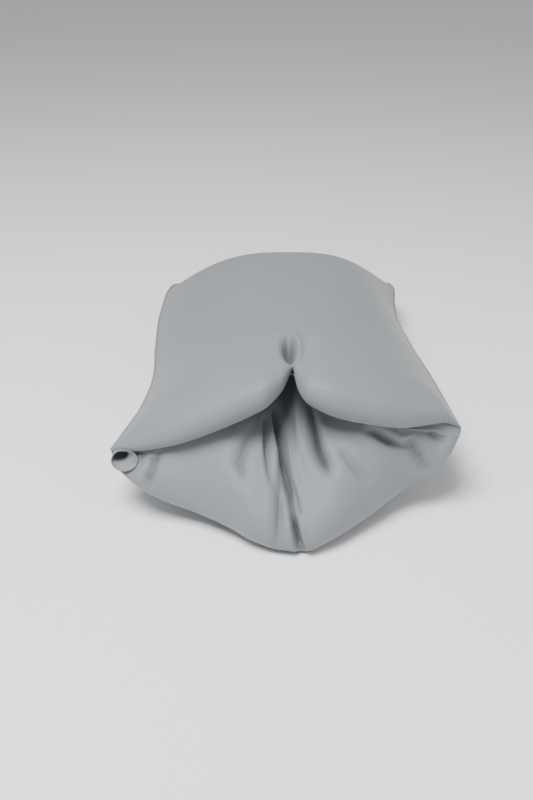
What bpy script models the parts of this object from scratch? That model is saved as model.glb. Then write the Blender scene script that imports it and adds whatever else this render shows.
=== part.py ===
"""A bed pillow: a sewn fibre insert inside a pillowcase with an inner flap.

Metres, +Z up, +Y from the mouth of the case to its far seam, and the pillow lies on z = 0.
Every cloth piece is a thin closed sheet. Neighbouring pieces keep a small gap.
"""
import math

import bmesh
import bpy
from mathutils import Vector

# Overall sizes of the filled pillow
LENGTH = 0.790          # front tip to far seam
EAR_HALF_WIDTH = 0.230  # middle to a corner at the mouth
BODY_HALF_WIDTH = 0.212  # middle to a side seam, along the body
CROWN_HEIGHT = 0.196    # highest line of the top, near the mouth
TAIL_HEIGHT = 0.150     # height of the top near the far end

# Heights of the seam line, and the mouth
EAR_HEIGHT = 0.098      # side seam at the mouth
MID_SEAM_HEIGHT = 0.086
FAR_SEAM_HEIGHT = 0.066
MOUTH_SETBACK = 0.112   # mouth edge behind the front tip
LIP_RISE = 0.076        # mouth edge at the middle above the corners
CLEFT_DEPTH = 0.026     # groove between the two lobes
CLEFT_HALF_WIDTH = 0.014
CLEFT_LENGTH = 0.075
CUSP_RISE = 0.004       # mouth edge lifts to a point in the middle
CUSP_SETBACK = 0.030    # and is drawn back there
PLEAT_DEPTH = 0.007     # upright pleat down the middle of the flap
PLEAT_HALF_WIDTH = 0.012
FLAT_SHARE = 0.50       # share of the half width that lies flat below

# Cloth and fits
CLOTH = 0.0008          # one layer of pillowcase cloth
HEM_CLOTH = 0.0014      # a folded hem, two layers
GAP = 0.0005            # clearance between neighbouring pieces
HEM_WIDTH = 0.040
TUCK_LENGTH = 0.130     # how far the flap runs back inside the mouth
SEAM_ROUND = 0.0020     # radius of the rounded edge of a turned seam
SEAM_TAIL = 0.008       # width of the seam allowance inside
TAIL_THICK = 0.0010
SEAM_CLEAR = 0.0003     # least clearance of a panel from its seam
RIM_LIFT = SEAM_ROUND + SEAM_CLEAR      # panel edge above or below its seam's middle
RIM_MARGIN = SEAM_ROUND + 4 * SEAM_CLEAR  # panel edge inside its seam's middle

# Insert
INSERT_SIDE_INSET = 0.016
INSERT_END_INSET = 0.022
INSERT_CLEAR = 0.0034   # room between the insert and the layers over it
LAYERS = 2 * CLOTH + 2 * HEM_CLOTH + 3 * GAP  # panel, hem, flap and its hem, stacked
INSERT_DROP = LAYERS + INSERT_CLEAR     # top of the insert under the top of the case
INSERT_LIFT = 0.0022    # bottom of the insert above the bottom of the case
INSERT_LIP_DROP = 0.030  # front seam of the insert under the mouth edge
INSERT_EAR_DROP = 0.007  # front corners of the insert under those of the case
INSERT_SETBACK = 0.0035  # front of the insert behind the flap
INSERT_START = 0.018    # front seam of the insert behind the mouth edge
COVER_CLOTH = 0.0007
CORD_RADIUS = 0.0022
INSERT_RIM = CORD_RADIUS    # cover edge above or below the middle of the cord
FILL_RIM = 0.0004
FILL_GAP = 0.0008
FILL_INSET = 0.009      # fill inside the insert's edge cord


def clear_scene():
    for obj in list(bpy.data.objects):
        bpy.data.objects.remove(obj, do_unlink=True)


def lerp(a, b, t):
    return a + (b - a) * t


def smooth(t):
    t = min(max(t, 0.0), 1.0)
    return t * t * (3.0 - 2.0 * t)


# --- the outer shape ---------------------------------------------------------

def half_width(v):
    """The corners at the mouth stand out beyond the body, and the far ones a little."""
    ears = (EAR_HALF_WIDTH - BODY_HALF_WIDTH) * math.exp(-((v / 0.13) ** 2))
    far = -0.006 * math.exp(-(((v - 0.80) / 0.22) ** 2))
    return BODY_HALF_WIDTH + ears + far


def seam_height(v):
    if v < 0.35:
        return lerp(EAR_HEIGHT, MID_SEAM_HEIGHT, smooth(v / 0.35))
    return lerp(MID_SEAM_HEIGHT, FAR_SEAM_HEIGHT, smooth((v - 0.35) / 0.65))


def mouth_y(u):
    """The mouth edge is drawn back in the middle, where it is pinched."""
    return MOUTH_SETBACK + 0.004 * abs(u) ** 2 + CUSP_SETBACK * math.exp(-abs(u) / 0.10)


def far_y(u):
    """The far seam curves in a little between its two corners."""
    return LENGTH - 0.016 * max(1.0 - u * u, 0.0) ** 1.5


def case_share(u, y):
    """How far a place lies along the case, from its mouth at 0 to its far seam at 1."""
    return min(max((y - mouth_y(u)) / (far_y(u) - mouth_y(u)), 0.0), 1.0)


def lip_height(u):
    cusp = CUSP_RISE * math.exp(-abs(u) / 0.09)
    return EAR_HEIGHT + LIP_RISE * (1.0 - abs(u)) ** 1.7 + cusp


def crown(v):
    return lerp(CROWN_HEIGHT, TAIL_HEIGHT, smooth((v - 0.18) / 0.70))


def arch(u):
    return 1.0 - abs(u) ** 2.5


def rim_height(v, shape):
    return seam_height(v) - shape["ear_drop"] * math.exp(-v / 0.12)


def top_point(u, v, shape):
    """A point of the top, from the mouth at v = 0 to the far seam at v = 1."""
    y = lerp(mouth_y(u) + shape["start"], far_y(u) - shape["end"], v)
    along = case_share(u, y)
    x = u * (half_width(along) - shape["side"])
    seam = rim_height(along, shape)
    full = seam + (crown(along) - shape["drop"] - seam) * arch(u)
    lip = lip_height(u) - shape["lip_drop"] * (1.0 - abs(u)) - shape["ear_drop"]
    front = min(v / 0.26, 1.0)
    rise = (1.0 - (1.0 - front) ** 2.4) ** 0.85
    back = min((1.0 - v) / 0.30, 1.0)
    fall = (1.0 - (1.0 - back) ** 2.6) ** 0.80
    z = lerp(lip, full, rise)
    z = seam + (z - seam) * fall
    back = (y - mouth_y(u)) / CLEFT_LENGTH
    near = max(back, 0.0) * math.exp(0.5 - 0.5 * back * back)
    z -= CLEFT_DEPTH * near * math.exp(-((x / CLEFT_HALF_WIDTH) ** 2))
    return Vector((x, y, z + shape["rim"]))


def floor_height(u, v, shape):
    """The underside lies flat in the middle and rises to the side seams."""
    past = max(abs(u) - FLAT_SHARE, 0.0) / (1.0 - FLAT_SHARE)
    return (rim_height(v, shape) - shape["rim"]) * past ** 1.9


def fullness(u):
    """One in the middle and nothing at the side seams."""
    return 1.0 - abs(u) ** 4


def tip_y(u, shape):
    """The front of the underside, most forward in the middle."""
    corner = mouth_y(1.0) + shape["start"]
    return corner * abs(u) ** 1.7 + shape["setback"] * fullness(u)


def front_point(u, t, lip, shape):
    """The front face, from the mouth edge at t = 0 down and under to the floor at t = 1."""
    base = floor_height(u, 0.0, shape) + shape["lift"] * fullness(u)
    low = tip_y(u, shape)
    b_y = lerp(low, lip.y, 0.45) - 0.030 * fullness(u)
    b = Vector((lip.x, b_y, lerp(base, lip.z, 0.55)))
    c = Vector((lip.x, low - 0.062 * fullness(u), base))
    d = Vector((lip.x, low + 0.070 * fullness(u), base))
    s = 1.0 - t
    point = lip * s ** 3 + b * (3 * s * s * t) + c * (3 * s * t * t) + d * t ** 3
    point.y += PLEAT_DEPTH * 4 * s * t * math.exp(-((lip.x / PLEAT_HALF_WIDTH) ** 2))
    return point


def bottom_point(u, v, shape):
    """A point of the underside, from behind the front tip at v = 0 to the far seam at v = 1."""
    start = tip_y(u, shape) + 0.070 * fullness(u)
    y = lerp(start, far_y(u) - shape["end"], v)
    along = case_share(u, y)
    x = u * (half_width(along) - shape["side"])
    seam = rim_height(along, shape) - shape["rim"]
    base = floor_height(u, along, shape)
    back = min((1.0 - v) / 0.24, 1.0)
    keep = 1.0 - (1.0 - back) ** 2.6
    z = lerp(seam, base, keep) + shape["lift"] * fullness(u) * keep
    return Vector((x, y, z))


CASE = {"side": 0.0, "start": 0.0, "end": 0.0, "drop": 0.0, "lip_drop": 0.0,
        "ear_drop": 0.0, "setback": 0.0, "lift": 0.0, "rim": RIM_LIFT}


def insert_shape(edge, extra, rim):
    """The insert's outline, or that of what lies further in from its edge and its faces."""
    return {"side": INSERT_SIDE_INSET + edge, "start": INSERT_START + edge,
            "end": INSERT_END_INSET + edge, "drop": INSERT_DROP + extra,
            "lip_drop": INSERT_LIP_DROP, "ear_drop": INSERT_EAR_DROP,
            "setback": INSERT_SETBACK + extra + 0.45 * edge, "lift": INSERT_LIFT + extra, "rim": rim}


# --- building thin sheets ----------------------------------------------------

def grid_normals(rows):
    """One unit normal per point of a grid, from its neighbours."""
    result = []
    m, n = len(rows), len(rows[0])
    for i in range(m):
        line = []
        for j in range(n):
            along = rows[min(i + 1, m - 1)][j] - rows[max(i - 1, 0)][j]
            across = rows[i][min(j + 1, n - 1)] - rows[i][max(j - 1, 0)]
            line.append(across.cross(along).normalized())
        result.append(line)
    return result


def moved(rows, depth):
    """The grid pushed inwards by a depth."""
    normals = grid_normals(rows)
    return [
        [p - n * depth for p, n in zip(line, directions)]
        for line, directions in zip(rows, normals)
    ]


def mesh_object(name, material, points, faces):
    mesh = bpy.data.meshes.new(name)
    mesh.from_pydata(points, [], faces)
    obj = bpy.data.objects.new(name, mesh)
    bpy.context.scene.collection.objects.link(obj)
    work = bmesh.new()
    work.from_mesh(mesh)
    bmesh.ops.recalc_face_normals(work, faces=work.faces)
    if work.calc_volume(signed=True) < 0:
        bmesh.ops.reverse_faces(work, faces=work.faces)
    work.to_mesh(mesh)
    work.free()
    mesh.materials.append(material)
    mesh.shade_smooth()
    mesh.set_sharp_from_angle(angle=math.radians(40))
    return obj


def sheet(name, material, outer, inner):
    """A closed sheet between two grids of the same size."""
    m, n = len(outer), len(outer[0])
    points = [p for line in outer for p in line]
    points += [p for line in inner for p in line]
    half = m * n
    faces = []
    for i in range(m - 1):
        for j in range(n - 1):
            a, b = i * n + j, i * n + j + 1
            c, d = (i + 1) * n + j + 1, (i + 1) * n + j
            faces.append((a, b, c))
            faces.append((a, c, d))
            faces.append((half + c, half + b, half + a))
            faces.append((half + d, half + c, half + a))
    edge = [(0, j) for j in range(n)]
    edge += [(i, n - 1) for i in range(1, m)]
    edge += [(m - 1, j) for j in range(n - 2, -1, -1)]
    edge += [(i, 0) for i in range(m - 2, 0, -1)]
    ring = [i * n + j for i, j in edge]
    for a, b in zip(ring, ring[1:] + ring[:1]):
        faces.append((b, a, half + a, half + b))
    return mesh_object(name, material, points, faces)


def spread_values(low, high, count):
    """Values from low to high, closer together near both ends."""
    values = []
    for k in range(count + 1):
        s = k / count
        s = lerp(s, 0.5 - 0.5 * math.cos(math.pi * s), 0.55)
        values.append(lerp(low, high, s))
    return values


def columns_to(edge, count):
    """Columns across a piece, close together at the middle groove and at its edges."""
    half = [0.030, 0.060, 0.095]
    for k in range(1, count + 1):
        s = k / count
        half.append(lerp(0.095, edge, s + 0.12 * math.sin(math.pi * s)))
    return [-u for u in reversed(half)] + [0.0] + half


def material(name, color, roughness):
    made = bpy.data.materials.new(name)
    made.use_nodes = True
    shader = made.node_tree.nodes["Principled BSDF"]
    shader.inputs["Base Color"].default_value = (*color, 1.0)
    shader.inputs["Roughness"].default_value = roughness
    shader.inputs["Metallic"].default_value = 0.0
    return made


# --- pieces ------------------------------------------------------------------

def top_rows(us, vs, shape):
    return [[top_point(u, v, shape) for u in us] for v in vs]


def facing_down(rows):
    """The grid with its columns reversed, so that its normals face the other way."""
    return [list(reversed(line)) for line in rows]


def case_columns():
    edge = 1.0 - RIM_MARGIN / BODY_HALF_WIDTH
    return columns_to(edge, 12)


def case_steps():
    """Rows along the top: across the hem, over the tucked flap, then on to the far seam."""
    span = LENGTH - MOUTH_SETBACK
    hem = [HEM_WIDTH / span * k / 4 for k in range(4)]
    tuck = [lerp(HEM_WIDTH, TUCK_LENGTH, k / 5) / span for k in range(5)]
    far = 1.0 - RIM_MARGIN / span
    rest = [lerp(TUCK_LENGTH / span, far, 1.0 - (1.0 - k / 16) ** 1.35) for k in range(17)]
    return hem + tuck + rest


def make_case(cloth, hem_cloth):
    us = case_columns()
    steps = case_steps()
    top = top_rows(us, steps, CASE)
    sheet("case_top_panel", cloth, top, moved(top, CLOTH))

    # Layers under the mouth edge follow the same grid, so they stay parallel.
    reach = 1.0 - (SEAM_TAIL + 4 * GAP + 0.002) / BODY_HALF_WIDTH
    kept = [j for j, u in enumerate(us) if abs(u) <= reach]

    def layer(depth, first, last):
        rows = moved(top, depth)[first:last + 1]
        return [[line[j] for j in kept] for line in rows]

    depth = CLOTH + GAP
    sheet("top_hem", hem_cloth, layer(depth, 0, 4), layer(depth + HEM_CLOTH, 0, 4))

    # The flap starts inside, comes forward under the hem and turns down over the end.
    depth = CLOTH + HEM_CLOTH + 2 * GAP
    inside = layer(depth, 0, 9)
    columns = [us[j] for j in kept]
    wider = us[-1] / columns[-1]
    face = []
    for k in range(1, 15):
        widen = lerp(1.0, wider, smooth(k / 5))
        line = []
        for u, p in zip(columns, inside[0]):
            lip = Vector((p.x * widen, p.y, p.z))
            line.append(front_point(u * widen, k / 14, lip, CASE))
        face.append(line)
    rows = facing_down(list(reversed(inside)) + face)
    sheet("case_flap", cloth, rows, moved(rows, CLOTH))

    # Its hem lies under the tucked end.
    depth += CLOTH + GAP
    sheet("flap_hem", hem_cloth, layer(depth, 6, 9), layer(depth + HEM_CLOTH, 6, 9))

    # The bottom panel carries on where the flap ends.
    span = LENGTH - MOUTH_SETBACK
    far = 1.0 - RIM_MARGIN / span
    vs = [lerp(2.5 * GAP / span, far, k / 20) for k in range(21)]
    vs = vs[:-1] + [lerp(vs[-2], far, 0.4), lerp(vs[-2], far, 0.75), far]
    rows = facing_down([[bottom_point(u, v, CASE) for u in us] for v in vs])
    sheet("case_bottom_panel", cloth, rows, moved(rows, CLOTH))


def seam_profile():
    """The turned edge and its allowance: (inward distance, height) pairs, in order."""
    points = []
    for k in range(7):
        angle = math.radians(125 - 250 * k / 6)
        points.append((-SEAM_ROUND * math.cos(angle) * 1.0, SEAM_ROUND * math.sin(angle)))
    half = TAIL_THICK / 2
    points.append((SEAM_TAIL, -half))
    points.append((SEAM_TAIL, half))
    return points


def swept(name, material_used, path, inward, starts, ends):
    """The seam profile carried along a path. A mitred end is cut by its inward distance."""
    profile = seam_profile()
    points = []
    count = len(path)
    for k, place in enumerate(path):
        ahead = (path[min(k + 1, count - 1)] - path[max(k - 1, 0)]).normalized()
        side = inward(k)
        for distance, height in profile:
            p = place + side * distance + Vector((0, 0, height))
            if k == 0 and starts:
                p = p + ahead * (distance + starts)
            if k == count - 1 and ends:
                p = p - ahead * (distance + ends)
            points.append(p)
    n = len(profile)
    faces = []
    for k in range(count - 1):
        for j in range(n):
            a, b = k * n + j, k * n + (j + 1) % n
            faces.append((a, b, b + n, a + n))
    faces.append(tuple(range(n)))
    faces.append(tuple((count - 1) * n + j for j in reversed(range(n))))
    obj = mesh_object(name, material_used, points, faces)
    work = bmesh.new()
    work.from_mesh(obj.data)
    caps = [f for f in work.faces if len(f.verts) > 4]
    bmesh.ops.triangulate(work, faces=caps)
    work.to_mesh(obj.data)
    work.free()


def make_seams(thread):
    along = case_steps()[:-1] + [1.0]
    for side, name in ((-1, "case_side_seam_left"), (1, "case_side_seam_right")):
        path = []
        for v in along:
            y = lerp(mouth_y(side), far_y(side), v)
            path.append(Vector((side * half_width(v), y, seam_height(v))))
        inwards = Vector((-side, 0, 0))
        swept(name, thread, path, lambda k, way=inwards: way, 0.0, 2 * GAP)
    us = [-1.0] + case_columns()[1:-1] + [1.0]
    path = [Vector((u * half_width(1.0), far_y(u), FAR_SEAM_HEIGHT)) for u in us]
    backwards = Vector((0, -1, 0))
    swept("case_end_seam", thread, path, lambda k: backwards, 2 * GAP, 2 * GAP)


def spaced_along(points, shares):
    """Points at these shares of the length of a line of points."""
    lengths = [0.0]
    for a, b in zip(points, points[1:]):
        lengths.append(lengths[-1] + (b - a).length)
    result = []
    k = 0
    for share in shares:
        goal = share * lengths[-1]
        while k < len(points) - 2 and lengths[k + 1] < goal:
            k += 1
        step = lengths[k + 1] - lengths[k]
        result.append(points[k].lerp(points[k + 1], (goal - lengths[k]) / step))
    return result


def cushion_shares(first):
    """Shares of a cushion's length, closer together over its rounded front."""
    front = [lerp(first, 0.32, k / 13) for k in range(13)]
    return front + [lerp(0.32, 1.0, 1.0 - (1.0 - k / 13) ** 1.3) for k in range(14)]


def lower_rows(us, shares, far, shape):
    """The whole underside of a closed cushion: its front face, then its bottom."""
    drop = Vector((0, 0, 2 * shape["rim"]))
    columns = []
    for u in us:
        lip = top_point(u, 0.0, shape) - drop
        line = [front_point(u, k / 30, lip, shape) for k in range(30)]
        line += [bottom_point(u, far * k / 60, shape) for k in range(61)]
        columns.append(spaced_along(line, shares))
    return [list(row) for row in zip(*columns)]


def make_insert(cover, cord, fibre):
    shape = insert_shape(0.0, 0.0, INSERT_RIM)
    margin = CORD_RADIUS + 4 * GAP
    span = LENGTH - MOUTH_SETBACK
    edge = 1.0 - margin / (BODY_HALF_WIDTH - INSERT_SIDE_INSET)
    far = 1.0 - margin / span
    us = columns_to(edge, 8)
    top = top_rows(us, spread_values(margin / span, far, 20), shape)
    sheet("insert_cover_top", cover, top, moved(top, COVER_CLOTH))

    shares = cushion_shares(0.006)
    inner_shape = insert_shape(COVER_CLOTH, COVER_CLOTH, INSERT_RIM)
    outer, inner = [lower_rows(us, shares, far, each) for each in (shape, inner_shape)]
    sheet("insert_cover_bottom", cover, outer, inner)

    # The edge cord runs right round the insert between its two covers.
    loop = [top_point(u, 0.0, shape) for u in us]
    vs = spread_values(0.0, 1.0, 24)
    right = [rim_point(1, v, shape) for v in vs]
    left = [rim_point(-1, v, shape) for v in reversed(vs)]
    back = [rim_point(u, 1.0, shape) for u in reversed(us)]
    front = [p - Vector((0, 0, shape["rim"])) for p in loop]
    cord_along("insert_edge_cord", cord, front + right + back + left)

    # The fill is one solid cushion.
    shape = insert_shape(FILL_INSET, COVER_CLOTH + FILL_GAP, FILL_RIM)
    us = columns_to(1.0, 8)
    shares = cushion_shares(0.0)
    top = top_rows(us, shares, shape)
    under = lower_rows(us, shares, 1.0, shape)
    sheet("fibre_fill", fibre, top, under)


def rim_point(u, v, shape):
    """A point on the middle line of the edge cord, at a side or at the far end."""
    y = lerp(mouth_y(u) + shape["start"], far_y(u) - shape["end"], v)
    along = case_share(u, y)
    x = u * (half_width(along) - shape["side"])
    return Vector((x, y, rim_height(along, shape)))


def cord_along(name, material_used, points):
    curve = bpy.data.curves.new(name, "CURVE")
    curve.dimensions = "3D"
    curve.bevel_depth = CORD_RADIUS
    curve.bevel_resolution = 1
    spline = curve.splines.new("POLY")
    spline.points.add(len(points) - 1)
    for slot, p in zip(spline.points, points):
        slot.co = (p.x, p.y, p.z, 1.0)
    spline.use_cyclic_u = True
    curve.materials.append(material_used)
    obj = bpy.data.objects.new(name, curve)
    bpy.context.scene.collection.objects.link(obj)


def centre_on_box():
    """The origin is the middle of the overall box, at its lowest height."""
    bpy.context.view_layer.update()
    corners = []
    for obj in bpy.context.scene.objects:
        if obj.type == "MESH":
            corners += [v.co for v in obj.data.vertices]
    low = [min(c[k] for c in corners) for k in range(3)]
    high = [max(c[k] for c in corners) for k in range(3)]
    shift = Vector(((low[0] + high[0]) / 2, (low[1] + high[1]) / 2, low[2]))
    for obj in bpy.context.scene.objects:
        obj.location = -shift


def build():
    clear_scene()
    cloth = material("sateen", (0.36, 0.40, 0.47), 0.48)
    hem_cloth = material("hem", (0.34, 0.38, 0.45), 0.52)
    thread = material("seam", (0.33, 0.37, 0.44), 0.55)
    cover = material("ticking", (0.86, 0.85, 0.82), 0.75)
    cord = material("cord", (0.82, 0.81, 0.78), 0.75)
    fibre = material("fibre", (0.93, 0.93, 0.91), 0.90)
    make_case(cloth, hem_cloth)
    make_seams(thread)
    make_insert(cover, cord, fibre)
    centre_on_box()


build()
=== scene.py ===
# %% [markdown]
# # A bed pillow in a sateen case
#
# A filled pillow is two things. Inside is the insert, which is a sewn cover round loose
# fibre. Outside is the case, a flat bag of woven cloth that the insert pushes full.
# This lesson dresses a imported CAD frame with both. Each case cloth is cut flat and laid
# over a shape that is described by a few measured sizes. The cover of the insert is then
# settled inside the case by cloth simulation.

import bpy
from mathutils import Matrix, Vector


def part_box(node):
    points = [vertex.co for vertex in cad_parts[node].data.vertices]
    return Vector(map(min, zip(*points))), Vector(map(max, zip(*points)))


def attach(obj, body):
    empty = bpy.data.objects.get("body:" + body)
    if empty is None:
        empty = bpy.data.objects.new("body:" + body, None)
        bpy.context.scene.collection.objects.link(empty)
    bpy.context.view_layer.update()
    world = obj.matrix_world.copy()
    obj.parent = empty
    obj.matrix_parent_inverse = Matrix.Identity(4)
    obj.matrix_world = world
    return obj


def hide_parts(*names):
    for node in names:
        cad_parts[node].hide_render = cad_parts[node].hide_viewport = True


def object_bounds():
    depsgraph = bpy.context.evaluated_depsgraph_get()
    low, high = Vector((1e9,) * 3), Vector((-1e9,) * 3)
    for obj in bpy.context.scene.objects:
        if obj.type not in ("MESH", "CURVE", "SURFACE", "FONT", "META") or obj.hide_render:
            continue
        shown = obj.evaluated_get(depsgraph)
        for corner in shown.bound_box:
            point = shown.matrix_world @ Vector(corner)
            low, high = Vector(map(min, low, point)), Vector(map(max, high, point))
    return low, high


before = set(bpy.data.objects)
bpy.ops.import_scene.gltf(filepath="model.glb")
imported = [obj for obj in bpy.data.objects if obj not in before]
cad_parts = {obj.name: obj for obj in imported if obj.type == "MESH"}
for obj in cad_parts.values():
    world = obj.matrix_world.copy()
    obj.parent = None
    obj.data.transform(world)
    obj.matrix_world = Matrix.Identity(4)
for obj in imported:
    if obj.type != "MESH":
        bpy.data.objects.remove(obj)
cad_low, cad_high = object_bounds()
print("frame nodes:", sorted(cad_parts))

# %% Imports
import math

import bmesh
import bpy
from mathutils import Vector
from mathutils.bvhtree import BVHTree

bpy.ops.object.select_all(action="DESELECT")

# %% [markdown]
# ## The camera and the light
#
# The camera comes first, so that every later step is judged from the same place. It
# stands in front of the mouth of the case and looks down along the length. A 45 mm lens
# sees about as much as a phone or a small camera does.

# %% Camera
FRONT = cad_low.y            # the foremost tip of the pillow
FAR = cad_high.y             # its far end
CAMERA_PLACE = (-0.030, FRONT - 1.030, 0.736)
LOOK_DOWN = 27.0             # degrees below level
LENS_MM = 45.0

bpy.ops.object.camera_add(location=CAMERA_PLACE)
camera = bpy.context.object
camera.name = "front_camera"
camera.rotation_euler = (math.radians(90.0 - LOOK_DOWN), 0.0, 0.0)
camera.data.lens = LENS_MM
camera.data.sensor_width = 36.0
bpy.context.scene.camera = camera
print("camera at", [round(c, 3) for c in camera.location])

# %% [markdown]
# The light is soft. It comes from high on the left and a little in front, as from a tall
# window, so the lobes of the case shade the flap beneath them. A large area lamp gives
# that, and a weak one on the right keeps the right side from going dull. A pale world
# fills the shadows, as white walls would.

# %% Light
def add_area(name, place, target, size, watts, colour):
    """A flat lamp at a place, turned towards its target."""
    bpy.ops.object.light_add(type="AREA", location=place)
    lamp = bpy.context.object
    lamp.name = name
    lamp.data.shape = "RECTANGLE"
    lamp.data.size = size[0]
    lamp.data.size_y = size[1]
    lamp.data.energy = watts
    lamp.data.color = colour
    way = Vector(target) - Vector(place)
    lamp.rotation_euler = way.to_track_quat("-Z", "Y").to_euler()
    return lamp


def add_world(strength):
    """A pale world, which lights everything evenly."""
    world = bpy.data.worlds.new("pale_room")
    world.use_nodes = True
    back = world.node_tree.nodes["Background"]
    back.inputs["Color"].default_value = (0.96, 0.97, 1.0, 1.0)
    back.inputs["Strength"].default_value = strength
    bpy.context.scene.world = world


LAMP_SIZE = (1.2, 1.2)

add_world(0.46)
add_area("window_light", (-0.55, -0.95, 2.2), (0.0, 0.05, 0.1), LAMP_SIZE, 104,
         (1.0, 0.99, 0.98))
add_area("side_light", (2.0, -0.5, 1.2), (0.0, 0.1, 0.1), LAMP_SIZE, 8, (1.0, 0.98, 0.96))


# %% [markdown]
# ## The shape of the filled case
#
# A filled case is a lens. Its side seams run at mid height, the top arches between them,
# and the underside lies flat in the middle. At the mouth the two corners stand out like
# ears, and the edge of the top is drawn back in the middle, which leaves two soft lobes.
# A tailor would note a few widths and heights at stations, and draw a fair curve through
# them. This lesson does the same. A station is a place across, from -1 at the left seam
# to 1 at the right one, or a distance in metres behind the foremost tip of the pillow.

# %% A fair curve through stations
def fair(stations):
    """A smooth curve through (place, value) pairs that never overshoots between them."""
    places = [p for p, _ in stations]
    values = [v for _, v in stations]
    steps = [places[k + 1] - places[k] for k in range(len(places) - 1)]
    rates = [(values[k + 1] - values[k]) / steps[k] for k in range(len(steps))]
    slopes = [rates[0]]
    for a, b in zip(rates, rates[1:]):
        slopes.append(0.0 if a * b <= 0.0 else 2.0 * a * b / (a + b))
    slopes.append(rates[-1])

    def curve(place):
        """The value at a place. Past either end it stays as it is there."""
        if place <= places[0]:
            return values[0]
        if place >= places[-1]:
            return values[-1]
        k = 0
        while place > places[k + 1]:
            k += 1
        t = (place - places[k]) / steps[k]
        start, end = values[k], values[k + 1]
        leave = slopes[k] * steps[k] * t * (1 - t) ** 2
        arrive = slopes[k + 1] * steps[k] * t * t * (1 - t)
        return start + (end - start) * t * t * (3 - 2 * t) + (leave - arrive)

    return curve


def hump(distance, width):
    """1 at no distance, falling smoothly to 0 beyond the width."""
    return math.exp(-((distance / width) ** 2))


def ease(t):
    """A gentle step from 0 to 1 as t goes from 0 to 1."""
    t = min(max(t, 0.0), 1.0)
    return t * t * (3.0 - 2.0 * t)


def blend(a, b, t):
    """a where t is 0, b where t is 1."""
    return a + (b - a) * t


# %% Side seams and far end
TOP_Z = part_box("case_top_panel")[1].z
LENGTH = FAR - FRONT

# distance behind the tip, half width there
left_reach = fair([(0.10, 0.235), (0.16, 0.222), (0.24, 0.207), (0.33, 0.201), (0.45, 0.209),
                   (0.60, 0.216), (0.70, 0.216), (0.76, 0.212), (0.79, 0.203)])
right_reach = fair([(0.11, 0.225), (0.20, 0.221), (0.31, 0.215), (0.45, 0.203), (0.57, 0.196),
                    (0.67, 0.202), (0.75, 0.210), (0.79, 0.203)])
# distance behind the tip, height of the seam
left_seam = fair([(0.10, 0.084), (0.30, 0.080), (0.60, 0.074), (0.79, 0.062)])
right_seam = fair([(0.11, 0.107), (0.22, 0.098), (0.40, 0.084), (0.79, 0.064)])


def reach(u, s):
    """Half the width of the case at s, on the side that u is on."""
    return left_reach(s) if u < 0 else right_reach(s)


def seam_z(u, s):
    """Height of the side seams at s, blended from one seam to the other."""
    return blend(left_seam(s), right_seam(s), ease((u + 1.0) / 2.0))


def end_s(u):
    """The far seam, which the filling draws in a little between its two corners."""
    return LENGTH - 0.004 - 0.016 * max(1.0 - u * u, 0.0) ** 1.4


print("length", round(LENGTH, 3), "crown", round(TOP_Z, 3))

# %% [markdown]
# ## The top, from the hidden edge to the far seam
#
# The edge of the top is its most telling line, so it is measured first: where it stands
# at fifteen stations from ear to ear. From that edge the cloth rolls up and over each
# lobe, rises to a crest, and runs back to the far seam. In the middle it is pinched, and
# behind the pinch the cloth sinks in a small hollow like a keyhole.

# %% The edge of the top
# place across, distance behind the tip, height
LIP = [(-1.00, 0.106, 0.082), (-0.90, 0.100, 0.085), (-0.78, 0.091, 0.093),
       (-0.56, 0.079, 0.112), (-0.34, 0.077, 0.135), (-0.15, 0.080, 0.157),
       (-0.05, 0.102, 0.171), (0.022, 0.142, 0.184), (0.045, 0.110, 0.172),
       (0.10, 0.085, 0.163), (0.27, 0.077, 0.147), (0.48, 0.080, 0.135),
       (0.66, 0.089, 0.127), (0.88, 0.108, 0.124), (1.00, 0.122, 0.107)]
lip_s = fair([(u, s) for u, s, _ in LIP])
lip_z = fair([(u, z) for u, _, z in LIP])


def roll_radius(u):
    """How round the front of the top is: full in each lobe, tight at the pinch."""
    lobes = 0.021 * (1.0 - abs(u) ** 3.0) * (1.0 - 0.60 * hump(u, 0.13))
    return 0.003 + lobes * (1.0 - 0.6 * hump(u - 0.022, 0.04))


def crown_z(u, s):
    """Height of the top away from the mouth."""
    past = min(max((s - 0.50) / (end_s(u) - 0.50), 0.0), 1.0)
    fall = max(1.0 - past ** 2.4, 0.0) ** 0.60
    seam = seam_z(u, s)
    power = blend(2.5, 2.5 if u < 0 else 3.2, ease((s - 0.3) / 0.4))
    arch = 1.0 - abs(u) ** power
    crest = 0.012 * hump(s - 0.195, 0.065) * (1.0 - u * u)
    return seam + (TOP_Z - 0.006 + crest - seam) * arch * fall


def soft_least(a, b, k):
    """The lower of two heights, with the corner between them rounded off."""
    h = max(k - abs(a - b), 0.0) / max(k, 1e-6)
    return min(a, b) - h * h * k * 0.25


NOSE = 42.0        # the degrees above level at which the round front ends
CREST = 0.192      # how far behind the tip the top is highest
TUCK_ENDS = 0.07   # shares of the profile: the hidden tuck, then the round front,
ROLL_ENDS = 0.22   # then the rise
RISE_ENDS = 0.46   # to the crest


# %% The keyhole behind the pinch
def from_keyhole(x, s):
    """Distance across and along from the middle of the hollow, in its own half sizes."""
    return (x + 0.0010) / 0.0092, (s - 0.176) / 0.031


def keyhole(x, s):
    """1 in the bottom of the small hollow, 0 outside it."""
    return math.exp(-0.9 * math.hypot(*from_keyhole(x, s)) ** 4)


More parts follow.
